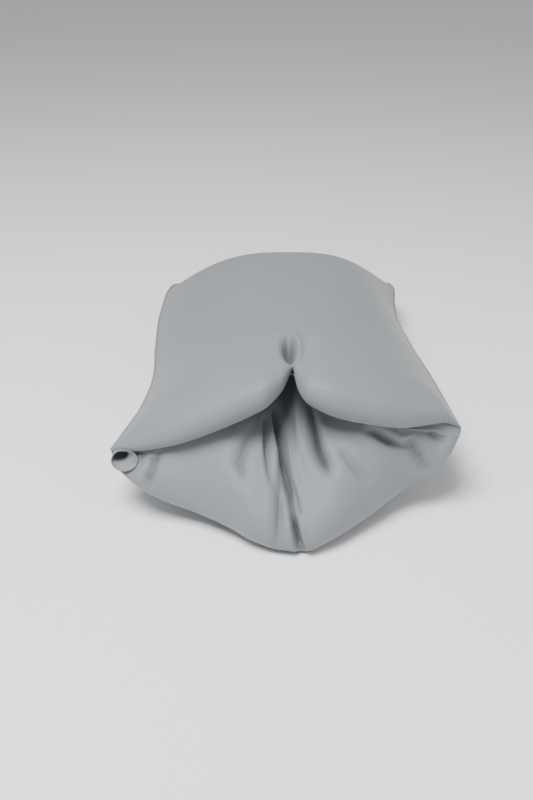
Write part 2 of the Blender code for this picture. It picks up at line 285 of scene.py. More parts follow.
def pinch(x, s):
    """How far the cloth sinks: the hollow, less a raised arch on its right side."""
    dx, ds = from_keyhole(x, s)
    far = math.sqrt(dx * dx + ds * ds)
    side = ease(0.5 + 0.9 * dx + 0.6 * ds)
    arch = 0.0055 * hump(far - 1.50, 0.36) * side
    beyond = 0.0030 * hump(far - 2.8, 0.8) * side
    wide = 0.005 * hump(x - 0.002, 0.026) * hump(s - 0.160, 0.045)
    return 0.019 * keyhole(x, s) - arch + beyond + wide


def tuck_length(u):
    """How far the edge of the top runs back inside the mouth, under the lobes."""
    inner = 1.0 - abs(u) ** 4
    return 0.010 + 0.018 * inner + 0.082 * hump(u - 0.01, 0.33) * inner


# %% The profile of the top
def top_point(u, w):
    """Profile of the top at u. w runs from the hidden edge at 0 to the far seam at 1."""
    r = roll_radius(u)
    centre_s = lip_s(u) + 0.469 * r
    centre_z = lip_z(u) + 0.883 * r
    if w < ROLL_ENDS:
        turn = math.radians(blend(-96.0, NOSE, max(w - TUCK_ENDS, 0.0) / 0.15))
        inner = tuck_length(u) * (1.0 - min(w / TUCK_ENDS, 1.0))
        s = centre_s - r * math.cos(turn) + inner
        sunk = 0.022 * hump(u, 0.06) * ease(inner / 0.03)
        z = centre_z + r * math.sin(turn) + 0.10 * inner - sunk
    elif w < RISE_ENDS:
        turn = math.radians(NOSE)
        a = Vector((centre_s - r * math.cos(turn), centre_z + r * math.sin(turn)))
        d = Vector((CREST, crown_z(u, CREST)))
        d.y = max(d.y, a.y + 0.002 * (1.0 - abs(u)))
        span = d - a
        b = a + Vector((math.sin(turn), math.cos(turn))) * (0.10 * span.x + 0.50 * span.y)
        c = d - Vector((0.52 * span.x, 0.12 * span.y))
        k = ((w - ROLL_ENDS) / 0.24) ** 1.1
        m = 1.0 - k
        s, z = a * m ** 3 + b * (3 * m * m * k) + c * (3 * m * k * k) + d * k ** 3
        z = blend(z, seam_z(u, s), abs(u) ** 40)
    else:
        v = (w - RISE_ENDS) / 0.54
        s = blend(CREST, end_s(u), v)
        z = crown_z(u, s)
    x = u * reach(u, s)
    z -= pinch(x, s) * ease((w - 0.15) / 0.12)
    return Vector((x, FRONT + s, z))


# %% [markdown]
# ## The front and the underside
#
# One cloth makes the flap, the front and the bottom. It starts inside the mouth, comes
# forward under the edge of the top, falls down the front, turns round the foot and runs
# back beneath the pillow to the far seam. The lowest line of the front is measured in
# stations too, because it is the lower outline of the pillow.

# %% The profile of the front
# place across, distance behind the tip and height of the lowest visible line of the front
FOOT = [(-1.00, 0.104, 0.078), (-0.985, 0.097, 0.068), (-0.95, 0.089, 0.061),
        (-0.90, 0.082, 0.055), (-0.80, 0.070, 0.042),
        (-0.56, 0.058, 0.022), (-0.34, 0.031, 0.014), (-0.20, 0.005, 0.010),
        (-0.05, -0.008, 0.006), (0.08, -0.011, 0.006), (0.21, 0.003, 0.010),
        (0.45, 0.048, 0.018), (0.71, 0.092, 0.036), (0.83, 0.095, 0.052),
        (0.92, 0.097, 0.078), (1.00, 0.118, 0.104)]
foot_s = fair([(u, s) for u, s, _ in FOOT])
foot_z = fair([(u, z) for u, _, z in FOOT])


def foot_radius(u):
    """How round the cloth turns under at the foot."""
    return 0.003 + 0.022 * (1.0 - abs(u) ** 3) * (1.0 - 0.55 * hump(u - 0.03, 0.16))


def recess(u):
    """How far the flap lies behind the edge of the top."""
    return 0.075 * hump(u - 0.01, 0.20) + 0.020 * (1.0 - abs(u) ** 3)


def front_point(u, t):
    """Profile of the front at u, from inside the mouth at 0 to under the pillow at 1."""
    r = foot_radius(u)
    centre_s = foot_s(u) + 0.545 * r
    centre_z = max(foot_z(u) + 0.839 * r, r)
    top_s = lip_s(u) * (1.0 - 0.3 * hump(u - 0.022, 0.04)) + recess(u)
    top_z = soft_least(lip_z(u) + 0.002, 0.136, 0.02)
    if t < 0.10:
        ceiling = top_point(u, 0.0)
        k = t / 0.10
        s = blend(ceiling.y - FRONT - 0.002, top_s, k)
        z = blend(ceiling.z - 0.003, top_z, k)
    elif t < 0.80:
        k = (t - 0.10) / 0.70
        low = (centre_s - r, centre_z)
        rise = top_z - centre_z
        b = (blend(top_s, low[0], 0.42), top_z - 0.30 * rise)
        c = (low[0], centre_z + 0.34 * rise)
        m = 1.0 - k
        s = top_s * m ** 3 + 3 * b[0] * m * m * k + 3 * c[0] * m * k * k + low[0] * k ** 3
        z = top_z * m ** 3 + 3 * b[1] * m * m * k + 3 * c[1] * m * k * k + centre_z * k ** 3
    else:
        turn = math.radians(blend(0.0, -90.0, (t - 0.80) / 0.20))
        s = centre_s - r * math.cos(turn)
        z = centre_z + r * math.sin(turn)
    x = u * reach(u, max(s, lip_s(u) * abs(u) ** 3))
    return Vector((x, FRONT + s, z))


# %% The profile of the underside
def under_z(u, s):
    """Height of the underside: flat in the middle, rising to the side seams."""
    flat = blend(0.25, 0.50, ease((s - 0.1) / 0.25))
    past = max(abs(u) - flat, 0.0) / (1.0 - flat)
    return seam_z(u, s) * past ** 1.9


def under_point(u, v):
    """Profile of the underside at u, from the foot at 0 to the far seam at 1."""
    start = front_point(u, 1.0)
    s0 = start.y - FRONT
    s = blend(s0, end_s(u), v)
    base = under_z(u, s)
    first = blend(start.z, base, ease(v / 0.18))
    first = blend(first, seam_z(u, s), abs(u) ** 12 * ease(v / 0.02))
    keep = (1.0 - min(max((v - 0.72) / 0.28, 0.0), 1.0) ** 2.4) ** 0.62
    z = blend(seam_z(u, s), first, keep)
    return Vector((u * reach(u, s), FRONT + s, z))


def square_to(place, u, v):
    """The direction square to a surface at (u, v), from two short steps across it.

    It points out of the top. On the front, whose profile runs down, it points in."""
    e = 0.004
    across = place(min(u + e, 1.0), v) - place(max(u - e, -1.0), v)
    ahead = place(u, min(v + e, 1.0)) - place(u, max(v - e, 0.0))
    return across.cross(ahead).normalized()


nose = top_point(-0.4, 0.12)
print("left lobe front", [round(c, 3) for c in nose])

# %% [markdown]
# ## Creases
#
# Cloth that is drawn together runs into creases. Each one here is a short line on the
# front of the case, given by where it starts and ends, how wide it is and how deep.
# The first number of a place is metres across, the second is how far down the front it
# lies, from 0 at the edge of the top to 1 at the foot. A crease has a sharp bottom and a
# low ridge on each side, as cloth has that is pushed together. They are modelled in the
# mesh, so they catch the light from every side, and painted shade also darkens the colour
# along them.

# %% Creases on the front
CREASES = [
    # places along it, half width, depth
    ([(-0.020, -0.05), (-0.009, 0.20), (-0.003, 0.36), (0.001, 0.50), (0.013, 1.00)],
     0.0032, 0.019),
    ([(-0.032, -0.05), (-0.029, 0.18), (-0.024, 0.36)], 0.0028, 0.011),
    ([(-0.014, 0.27), (-0.011, 0.39), (-0.013, 0.55), (-0.019, 0.85)], 0.0052, 0.008),
    ([(-0.052, 0.03), (-0.065, 0.22), (-0.060, 0.35)], 0.0075, 0.008),
    ([(0.023, -0.10), (0.033, 0.14), (0.046, 0.28)], 0.0060, 0.020),
    ([(0.004, 0.38), (0.013, 0.60)], 0.0030, 0.009),
    ([(0.004, 0.58), (0.017, 1.00)], 0.0026, 0.009),
    ([(0.006, 0.62), (0.024, 1.00)], 0.0022, 0.008),
    ([(0.065, 0.13), (0.078, 0.27), (0.096, 0.46)], 0.0038, 0.006),
    ([(0.073, 0.13), (0.086, 0.27), (0.103, 0.46)], 0.0038, 0.003),
    ([(0.106, -0.05), (0.128, 0.10), (0.150, 0.24)], 0.0055, 0.013),
    ([(0.155, 0.12), (0.168, 0.40), (0.181, 0.75)], 0.0045, 0.009),
    ([(0.148, 0.14), (0.160, 0.42), (0.172, 0.72)], 0.0040, 0.004),
    ([(0.182, 0.05), (0.190, 0.20), (0.199, 0.38)], 0.0042, 0.009),
    ([(-0.170, 0.02), (-0.176, 0.22)], 0.0046, 0.007),
    ([(-0.174, 0.15), (-0.180, 0.45), (-0.185, 0.80)], 0.0046, 0.011),
    ([(-0.190, 0.00), (-0.191, 0.30)], 0.0050, 0.006),
]
DROP = 0.17            # the metres of cloth down the front
SHOWS = 0.22           # the share of the front that is hidden inside the mouth
FOOT_AT = 0.93         # the share at which the foot is reached


def crease_depth(x, t):
    """How far in the cloth is drawn at this place by all the creases together."""
    q = (t - SHOWS) / (FOOT_AT - SHOWS)
    total = 0.0
    for path, width, depth in CREASES:
        nearest, share = 1.0, 0.0
        for k in range(len(path) - 1):
            (ax, aq), (bx, bq) = path[k], path[k + 1]
            dx, dq = bx - ax, (bq - aq) * DROP
            qx, qq = x - ax, (q - aq) * DROP
            s = min(max((qx * dx + qq * dq) / (dx * dx + dq * dq), 0.0), 1.0)
            gap = math.hypot(qx - s * dx, qq - s * dq)
            if gap < nearest:
                nearest, share = gap, (k + s) / (len(path) - 1)
        taper = math.sin(math.pi * (0.16 + 0.78 * share)) ** 0.8
        valley = math.exp(-nearest / width) - 0.22 * hump(nearest - 2.6 * width, 1.4 * width)
        total += depth * taper * valley
    return total


print("creases:", len(CREASES))

# %% [markdown]
# ## Cutting and laying the cloth
#
# A panel starts as a flat grid, as a cutter would cut it. Its own flat coordinates say
# where each point goes, and its UV map keeps the flat cloth, so that a weave can follow
# it. The grid is closer in the middle, where the creases are.

# %% Cut a flat panel and lay it
def cut_panel(name, columns, rows):
    """A flat square of cloth, one unit wide, with a UV map of its own."""
    bpy.ops.object.select_all(action="DESELECT")
    bpy.ops.mesh.primitive_grid_add(x_subdivisions=columns, y_subdivisions=rows, size=1.0)
    panel = bpy.context.object
    panel.name = name
    panel.data.name = name
    return panel


def spread(a):
    """Columns gather towards the middle: a and the answer both run from -1 to 1."""
    return 0.62 * a + 0.38 * a ** 3


def lay(panel, place, painted_shade):
    """Moves every point of a flat panel to its place, and notes the painted shade it takes."""
    depth = panel.data.attributes.new("painted_shade", "FLOAT", "POINT")
    for vertex in panel.data.vertices:
        flat = vertex.co
        u, row = spread(2.0 * flat.x), flat.y + 0.5
        depth.data[vertex.index].value = painted_shade(u, row)
        vertex.co = place(u, row)
    panel.data.update()


# %% Lay the top
# the share of the rows, and how far along the profile it has come by then
TOP_ROWS = fair([(0.0, 0.0), (0.08, TUCK_ENDS), (0.24, ROLL_ENDS), (0.54, RISE_ENDS),
                 (0.86, 0.90), (0.95, 0.98), (1.0, 1.0)])
PUFF = 0.0010          # the metres that the filling lifts the top off the profile


def top_cloth(u, w):
    """Where a point of the flat top goes: on the profile, and a little outside it."""
    row = TOP_ROWS(w)
    way = square_to(top_point, u, row)
    return top_point(u, row) + way * PUFF * (1.0 - abs(u) ** 8) * (1.0 - row ** 12)


def top_painted_shade(u, w):
    """How much painted shade a point of the top takes. Only the keyhole hollow gets any."""
    place = top_point(u, TOP_ROWS(w))
    return keyhole(place.x, place.y - FRONT)


case_top = cut_panel("case_top", 124, 94)
lay(case_top, top_cloth, top_painted_shade)


# %% Ease the crest
def ease_crest(panel, passes=14):
    """Rounds off the line where the round front meets the long flat of the top."""
    soft = bmesh.new()
    soft.from_mesh(panel.data)
    near = [v for v in soft.verts
            if 0.155 < v.co.y - FRONT < 0.255 and abs(v.co.x) > 0.045 and not v.is_boundary]
    for _ in range(passes):
        bmesh.ops.smooth_vert(soft, verts=near, factor=0.5,
                              use_axis_x=True, use_axis_y=True, use_axis_z=True)
    soft.to_mesh(panel.data)
    soft.free()
    print("crest eased over", len(near), "points")


ease_crest(case_top)
print("top cloth:", len(case_top.data.polygons), "faces")


# %% Lay the flap, front and underside in one piece
FRONT_ROWS = 0.66      # the share of the rows that goes to the front, for its creases
# the painted shade in a crease is full at this crease depth
FULL_SHADE_DEPTH = 0.013        # the depth at which a crease is at its darkest


def spout_hollow(place):
    """How far the cloth gives way behind the rolled hem at the left corner."""
    return 0.030 * hump(place.x + 0.216, 0.015) * hump(place.z - 0.076, 0.012)


def back_cloth(u, row):
    """One cloth: out of the mouth, down the front, round the foot and underneath."""
    if row < FRONT_ROWS:
        t = row / FRONT_ROWS
        place = front_point(u, t)
        fade = (1.0 - u ** 6) * (1.0 - ease((t - 0.90) / 0.10))
        place = place + square_to(front_point, u, t) * crease_depth(place.x, t) * fade
        place.y += spout_hollow(place)
        return place
    v = (row - FRONT_ROWS) / 0.34
    return under_point(u, 1.0 - (1.0 - v) ** 1.35)


def back_painted_shade(u, row):
    """How much painted shade a point of the back cloth takes, from how deep in a crease it is.
    The underside gets none.
    """
    if row > FRONT_ROWS:
        return 0.0
    place = front_point(u, row / FRONT_ROWS)
    return min(max(crease_depth(place.x, row / FRONT_ROWS) / FULL_SHADE_DEPTH, 0.0), 1.0)


case_back = cut_panel("case_back", 140, 84)
lay(case_back, back_cloth, back_painted_shade)
bpy.ops.object.mode_set(mode="EDIT")
bpy.ops.mesh.select_all(action="SELECT")
bpy.ops.mesh.flip_normals()
bpy.ops.object.mode_set(mode="OBJECT")
print("back cloth:", len(case_back.data.polygons), "faces")


# %% [markdown]
# The laid cloths are still single sheets. Here they serve a second purpose: a search tree
# of each keeps the insert inside the case later on. Only then does each cloth get its
# thickness, inwards, so that the outside stays where it was laid.

# %% Thicken the cloth
def thicken(panel, cloth):
    """One subdivision for a smooth surface, then the thickness of the cloth, inwards."""
    bpy.ops.object.select_all(action="DESELECT")
    panel.select_set(True)
    bpy.context.view_layer.objects.active = panel
    smooth = panel.modifiers.new("smooth", "SUBSURF")
    smooth.levels = 1
    smooth.render_levels = 1
    bpy.ops.object.modifier_apply(modifier=smooth.name)
    wall = panel.modifiers.new("wall", "SOLIDIFY")
    wall.thickness = cloth
    wall.offset = -1.0
    bpy.ops.object.modifier_apply(modifier=wall.name)
    print(panel.name, len(panel.data.polygons), "faces")


graph = bpy.context.evaluated_depsgraph_get()
case_walls = [BVHTree.FromObject(cloth, graph) for cloth in (case_top, case_back)]
CLOTH = 0.0008         # the thickness of sateen, a little generous
thicken(case_top, CLOTH)
thicken(case_back, CLOTH)

# %% [markdown]
# ## Hems
#
# The mouth edges are turned under and stitched down. Both hems lie inside the mouth, so
# little of them shows: a lens of hem at the right corner, where the top lifts off the
# flap, and at the left corner the end of the roll, which curls round like a small spout.
# Each is a strip, laid by a rule that says where its place along and its place across go.

# %% Lay a strip
def strip(name, columns, rows, place, thick):
    """A narrow band of cloth: a flat grid, laid by a rule, then thickened."""
    band = cut_panel(name, columns, rows)
    for vertex in band.data.vertices:
        vertex.co = place(vertex.co.x + 0.5, vertex.co.y + 0.5)
    band.data.update()
    bpy.ops.object.mode_set(mode="EDIT")
    bpy.ops.mesh.select_all(action="SELECT")
    bpy.ops.mesh.normals_make_consistent(inside=False)
    bpy.ops.object.mode_set(mode="OBJECT")
    thicken(band, thick)
    return band


def join(parts):
    """Makes one object of several."""
    bpy.ops.object.select_all(action="DESELECT")
    for part in parts:
        part.select_set(True)
    bpy.context.view_layer.objects.active = parts[0]
    bpy.ops.object.join()
    return bpy.context.object


# %% The hidden hems
HEM_GAP = 0.0016       # from the cloth it is stitched to, middle to middle


def top_band(a, b):
    """The hem of the top, along its hidden edge."""
    u = blend(-0.97, 0.97, a)
    w = blend(0.002, 0.066, b)
    return top_point(u, w) - square_to(top_point, u, w) * HEM_GAP


def flap_band(a, b):
    """The hem of the flap, deep inside the mouth."""
    u = blend(-0.97, 0.97, a)
    t = blend(0.004, 0.095, b)
    return front_point(u, t) + square_to(front_point, u, t) * HEM_GAP


# %% The hem that shows at the corners
EAR = 0.2245           # half the width at the mouth on the right
# place across, distance behind the tip and height of the lower edge of the lens
LENS = [(0.150, 0.087, 0.1255), (0.172, 0.094, 0.1190), (0.186, 0.100, 0.1155),
        (0.197, 0.101, 0.1085), (0.2086, 0.103, 0.1045), (0.222, 0.108, 0.1030)]
lens_s = fair([(x, s) for x, s, _ in LENS])
lens_z = fair([(x, z) for x, _, z in LENS])


def lens_band(a, b):
    """The lens: from the edge of the top, down to its own lower edge."""
    x = blend(LENS[0][0], LENS[-1][0], a)
    u = x / EAR
    high = Vector((x, FRONT + lip_s(u) + 0.005, lip_z(u) + 0.001))
    low = Vector((x, FRONT + lens_s(x), lens_z(x)))
    place = high.lerp(low, b)
    place.y += 0.004 * math.sin(math.pi * b) * math.sin(math.pi * a)
    return place


def spout_band(a, b):
    """The rolled end of the hem: a rim, a short funnel, then a tube straight back."""
    turn = math.radians(blend(-20.0, 342.0, a))
    neck = min(b / 0.55, 1.0)
    x = blend(-0.2138, -0.2205, neck) + blend(0.0177, 0.0105, neck) * math.cos(turn)
    z = blend(0.0788, 0.0800, neck) + blend(0.0128, 0.0080, neck) * math.sin(turn)
    s = blend(0.087, 0.098, neck) + 0.006 * math.sin(turn) + 0.030 * max(b - 0.55, 0.0)
    return Vector((x, FRONT + s, z))


# %% Cut the hems
top_hem = join([strip("mouth_hem", 60, 5, top_band, 0.0009),
                strip("lens_of_hem", 28, 6, lens_band, 0.0010),
                strip("spout_of_hem", 48, 10, spout_band, 0.0010)])
flap_hem = strip("inner_hem", 60, 6, flap_band, 0.0009)
print("hems:", len(top_hem.data.polygons), len(flap_hem.data.polygons), "faces")

# %% [markdown]
# ## Seams
#
# The two long sides and the closed end are plain seams, turned inside out, so all that
# shows is a slim ridge where the two cloths meet. A ridge is drawn as a curve with a
# round section and then made a mesh. Its points sit on the same stations as the cloth.

# %% Draw a ridge
def ridge(name, points, radius):
    """A slim round ridge through the points, closed at both ends."""
    line = bpy.data.curves.new(name, "CURVE")
    line.dimensions = "3D"
    line.bevel_depth = radius
    line.bevel_resolution = 2
    line.use_fill_caps = True
    line.resolution_u = 3
    spline = line.splines.new("NURBS")
    spline.points.add(len(points) - 1)
    for point, place in zip(spline.points, points):
        point.co = (place.x, place.y, place.z, 1.0)
    spline.use_endpoint_u = True
    spline.order_u = 3
    piece = bpy.data.objects.new(name, line)
    bpy.context.collection.objects.link(piece)
    bpy.ops.object.select_all(action="DESELECT")
    piece.select_set(True)
    bpy.context.view_layer.objects.active = piece
    bpy.ops.object.convert(target="MESH")
    return bpy.context.object


def side_line(side, count, first=0.0, inset=0.0):
    """Places along a side seam, from the mouth corner to the far corner."""
    start = lip_s(side) + 0.001 + first
    stop = end_s(side) - 0.002 - inset
    line = []
    for k in range(count):
        s = blend(start, stop, k / (count - 1))
        line.append(Vector((side * (reach(side, s) - inset), FRONT + s, seam_z(side, s))))
    return line


def end_line(count, inset=0.0):
    """Places along the end seam, from the left corner to the right one."""
    line = []
    for k in range(count):
        u = blend(-0.985, 0.985, k / (count - 1))
        s = end_s(u) - inset
        line.append(Vector((u * (reach(u, s) - inset), FRONT + s, seam_z(u, s))))
    return line


# %% The three seams of the case
SEAM = 0.0017          # the radius of the ridge
side_seam_left = ridge("side_seam_left", side_line(-1.0, 60), SEAM)
side_seam_right = ridge("side_seam_right", side_line(1.0, 60), SEAM)
end_seam = ridge("end_seam", end_line(48), SEAM)
print("seams:", [len(o.data.polygons) for o in (side_seam_left, side_seam_right, end_seam)])

# %% [markdown]
# ## The insert
#
# The insert fills the case, so it has the same form, a few millimetres inside the cloth.
# It is built as one closed skin: over the top from the far end, round the lobes, back
# into the mouth, down the front and underneath. That skin is shrunk along its own
# normals. In the pinch there is no room for filling, so there it is drawn further back.

# %% A closed skin inside the case
def loop_point(u, q):
    """Once round the case at u: the top from the far end, the mouth, front, underside."""
    if q < 0.46:
        return top_point(u, 1.0 - q / 0.46)
    if q < 0.74:
        return front_point(u, (q - 0.46) / 0.28)
    return under_point(u, (q - 0.74) / 0.26)


def clear_creases(place, k, around):
    """Moves a point of the skin back from the front cloth, the keyhole and the pinch."""
    s = place.y - FRONT
    if 0.46 * around < k < 0.76 * around:
        place.y += 0.014 + 0.016 * hump(place.x - 0.012, 0.060)
    elif k < 0.36 * around:
        place.z -= 0.016 * hump(place.x, 0.020) * hump(s - 0.172, 0.045)
    if 0.20 * around < k < 0.50 * around:
        back = ease((k / around - 0.20) / 0.06) * ease((0.50 - k / around) / 0.03)
        place.y += 0.060 * hump(place.x - 0.002, 0.026) * back


def make_skin(name, around=160, across=80):
    """A closed mesh of the case itself, to be drawn in afterwards."""
    skin = bmesh.new()
    rings = []
    for i in range(across + 1):
        u = blend(-0.97, 0.97, i / across)
        ring = []
        for k in range(around):
            place = loop_point(u, (k + 0.5) / around)
            clear_creases(place, k, around)
            ring.append(skin.verts.new(place))
        rings.append(ring)
    for first, second in zip(rings, rings[1:]):
        for k in range(around):
            n = (k + 1) % around
            skin.faces.new((first[k], second[k], second[n], first[n]))
    skin.faces.new(list(reversed(rings[0])))
    skin.faces.new(rings[-1])
    mesh = bpy.data.meshes.new(name)
    skin.to_mesh(mesh)
    skin.free()
    piece = bpy.data.objects.new(name, mesh)
    bpy.context.collection.objects.link(piece)
    return piece


# %% Shrink a skin
def remesh(piece, voxel):
    """Gives a closed skin an even mesh, with faces of about this size."""
    bpy.ops.object.select_all(action="DESELECT")
    piece.select_set(True)
    bpy.context.view_layer.objects.active = piece
    even = piece.modifiers.new("even_mesh", "REMESH")
    even.mode = "VOXEL"
    even.voxel_size = voxel
    bpy.ops.object.modifier_apply(modifier=even.name)


def draw_in(piece, depth, steps, voxel):
    """Shrinks a closed skin along its own normals, a little at a time."""
    remesh(piece, voxel)
    for _ in range(steps):
        inward = [vertex.normal * (-depth / steps) for vertex in piece.data.vertices]
        for vertex, move in zip(piece.data.vertices, inward):
            vertex.co += move
        piece.data.update()
        soften = piece.modifiers.new("soften", "SMOOTH")
        soften.factor = 0.4
        soften.iterations = 2
        bpy.ops.object.modifier_apply(modifier=soften.name)
        remesh(piece, voxel)
    print(piece.name, "drawn in", round(depth * 1000), "mm,", len(piece.data.polygons), "faces")


# %% [markdown]
# ## Materials
#
# Sateen floats its threads over the surface, so it is smooth with a soft sheen.
# Four effects are shared, so each is a node group with named inputs: a fine weave that
# gives the bump, a slow unevenness that shifts the colour and the roughness a little, a
# row of stitches for the hems, and ribs for whatever was twisted or turned. A cloth that
# was cut flat reads its own UV map, in metres of flat cloth. The insert was remeshed and
# has none, so its weave reads the Object coordinates.

# %% Helpers for node groups
def new_group(name, inputs, outputs):
    """A node group with named sockets, each given as (name, kind), and its two ends."""
    group = bpy.data.node_groups.new(name, "ShaderNodeTree")
    for way, sockets in (("INPUT", inputs), ("OUTPUT", outputs)):
        for label, kind in sockets:
            group.interface.new_socket(label, in_out=way, socket_type="NodeSocket" + kind)
    start = group.nodes.new("NodeGroupInput")
    end = group.nodes.new("NodeGroupOutput")
    return group, start, end


def place_group(tree, group, vector, **values):
    """Puts a node group in a material, with its own values, fed by a vector."""
    node = tree.nodes.new("ShaderNodeGroup")
    node.node_tree = group
    for label, value in values.items():
        node.inputs[label].default_value = value
    tree.links.new(vector, node.inputs["Vector"])
    return node


def math_node(tree, operation, first, second):
    """A maths node whose inputs are numbers or other nodes' outputs."""
    node = tree.nodes.new("ShaderNodeMath")
    node.operation = operation
    for socket, value in zip(node.inputs, (first, second)):
        if isinstance(value, float):
            socket.default_value = value
        else:
            tree.links.new(value, socket)
    return node.outputs[0]


# %% The weave
def weave_group():
    """Two sets of fine bands, one across the other, as the threads of a cloth."""
    group, start, end = new_group("woven_cloth", [("Vector", "Vector"), ("Threads", "Float")],
                                  [("Height", "Float")])
    heights = []
    for way in ("X", "Y"):
        wave = group.nodes.new("ShaderNodeTexWave")
        wave.wave_type = "BANDS"
        wave.bands_direction = way
        wave.inputs["Distortion"].default_value = 0.6
        wave.inputs["Detail"].default_value = 1.0
        group.links.new(start.outputs["Vector"], wave.inputs["Vector"])
        group.links.new(start.outputs["Threads"], wave.inputs["Scale"])
        heights.append(wave.outputs["Fac"])
    group.links.new(math_node(group, "MULTIPLY", *heights), end.inputs["Height"])
    return group


WEAVE = weave_group()
print("weave:", len(WEAVE.nodes), "nodes")


# %% The slow unevenness
def uneven_group():
    """A soft cloud between two colours, and the cloud itself as a mask."""
    group, start, end = new_group(
        "slow_unevenness",
        [("Vector", "Vector"), ("Light", "Color"), ("Dark", "Color"), ("Scale", "Float")],
        [("Color", "Color"), ("Mask", "Float")])
    links = group.links
    cloud = group.nodes.new("ShaderNodeTexNoise")
    cloud.inputs["Detail"].default_value = 3.0
    cloud.inputs["Roughness"].default_value = 0.55
    links.new(start.outputs["Vector"], cloud.inputs["Vector"])
    links.new(start.outputs["Scale"], cloud.inputs["Scale"])
    mix = group.nodes.new("ShaderNodeMix")
    mix.data_type = "RGBA"
    links.new(cloud.outputs["Fac"], mix.inputs[0])
    links.new(start.outputs["Dark"], mix.inputs[6])
    links.new(start.outputs["Light"], mix.inputs[7])
    links.new(mix.outputs[2], end.inputs["Color"])
    links.new(cloud.outputs["Fac"], end.inputs["Mask"])
    return group


UNEVEN = uneven_group()
print("unevenness:", len(UNEVEN.nodes), "nodes")


# %% The stitches of a hem
STITCHES_A_METRE = 360.0
THREAD_SHARE = 0.68            # the share of each stitch where the thread is on top


def stitch_group():
    """A row of short stitches along a cut edge, the given distance in from it."""
    group, start, end = new_group("stitch_row", [("Vector", "Vector"), ("Row", "Float")],
                                  [("Mask", "Float")])
    parts = group.nodes.new("ShaderNodeSeparateXYZ")
    group.links.new(start.outputs["Vector"], parts.inputs[0])
    count = math_node(group, "MULTIPLY", parts.outputs["X"], STITCHES_A_METRE)
    along = math_node(group, "LESS_THAN", math_node(group, "FRACT", count, 0.0), THREAD_SHARE)
    gap = math_node(group, "SUBTRACT", parts.outputs["Y"], start.outputs["Row"])
    near = math_node(group, "LESS_THAN", math_node(group, "ABSOLUTE", gap, 0.0), 0.0005)
    group.links.new(math_node(group, "MULTIPLY", along, near), end.inputs["Mask"])
    return group


STITCH = stitch_group()
print("stitches:", len(STITCH.nodes), "nodes")


# %% The ribs of a cord or a turned seam
def rib_group():
    """Ribs across a piece, which wander a little, as in a twisted cord."""
    group, start, end = new_group(
        "ribs", [("Vector", "Vector"), ("Ribs", "Float"), ("Wander", "Float")],
        [("Height", "Float")])
    wave = group.nodes.new("ShaderNodeTexWave")
    wave.bands_direction = "DIAGONAL"
    wave.inputs["Detail"].default_value = 2.0
    wave.inputs["Detail Scale"].default_value = 2.0
    group.links.new(start.outputs["Vector"], wave.inputs["Vector"])
    group.links.new(start.outputs["Ribs"], wave.inputs["Scale"])
    group.links.new(start.outputs["Wander"], wave.inputs["Distortion"])
    group.links.new(wave.outputs["Fac"], end.inputs["Height"])
    return group


RIBS = rib_group()
print("ribs:", len(RIBS.nodes), "nodes")


# %% A bare material
def new_material(name):
    """A material with its tree, its shader and its coordinates."""
    made = bpy.data.materials.new(name)
    made.use_nodes = True
    tree = made.node_tree
    return made, tree, tree.nodes["Principled BSDF"], tree.nodes.new("ShaderNodeTexCoord")


def raise_surface(tree, shader, height, strength, distance):
    """Feeds a height through a bump to the shader."""
    bump = tree.nodes.new("ShaderNodeBump")
    bump.inputs["Strength"].default_value = strength
    bump.inputs["Distance"].default_value = distance
    tree.links.new(height, bump.inputs["Height"])
    tree.links.new(bump.outputs["Normal"], shader.inputs["Normal"])


# %% [markdown]
# The case cloths and the hems wear the first kind of material. Its threads follow the UV
# map. Shade is painted into the colour of the creases and of the keyhole hollow: the mesh
# attribute that was written while the cloth was laid says how much painted shade each
# point takes, and the colour is multiplied darker there.

# %% Cloth that was cut flat
# painted shade: the colour that the deepest creases and the keyhole hollow are multiplied by
PAINTED_FOLD_SHADE = (0.34, 0.34, 0.36, 1.0)


def cloth_material(name, light, dark, rough, sheen, threads, bump, flat, row=-1.0):
    """A woven cloth. flat is the size of the cut panel, so threads stay the same size."""
    made, tree, shader, place = new_material(name)
    nodes, links = tree.nodes, tree.links
    size = nodes.new("ShaderNodeMapping")
    size.inputs["Scale"].default_value = (flat[0], flat[1], 1.0)
    links.new(place.outputs["UV"], size.inputs["Vector"])
    weave = place_group(tree, WEAVE, size.outputs["Vector"], Threads=threads)
    stitch = place_group(tree, STITCH, size.outputs["Vector"], Row=row)
    uneven = place_group(tree, UNEVEN, place.outputs["Object"],
                         Scale=9.0, Light=(*light, 1.0), Dark=(*dark, 1.0))
    # painted shade: the colour is multiplied darker in the creases and the keyhole hollow, as
    # much as the mesh attribute says
    painted_shade = nodes.new("ShaderNodeAttribute")
    painted_shade.attribute_name = "painted_shade"
    deep = nodes.new("ShaderNodeMix")
    deep.data_type = "RGBA"
    deep.blend_type = "MULTIPLY"
    deep.inputs[7].default_value = PAINTED_FOLD_SHADE
    links.new(painted_shade.outputs["Fac"], deep.inputs[0])
    links.new(uneven.outputs["Color"], deep.inputs[6])
    links.new(deep.outputs[2], shader.inputs["Base Color"])
    gloss = nodes.new("ShaderNodeMapRange")
    gloss.inputs["To Min"].default_value = rough - 0.04
    gloss.inputs["To Max"].default_value = rough + 0.04
    links.new(uneven.outputs["Mask"], gloss.inputs["Value"])
    links.new(gloss.outputs["Result"], shader.inputs["Roughness"])
    height = math_node(tree, "ADD", weave.outputs["Height"], stitch.outputs["Mask"])
    raise_surface(tree, shader, height, bump, 0.0002)
    shader.inputs["Specular IOR Level"].default_value = 0.28
    shader.inputs["Sheen Weight"].default_value = sheen
    shader.inputs["Sheen Roughness"].default_value = 0.45
    return made


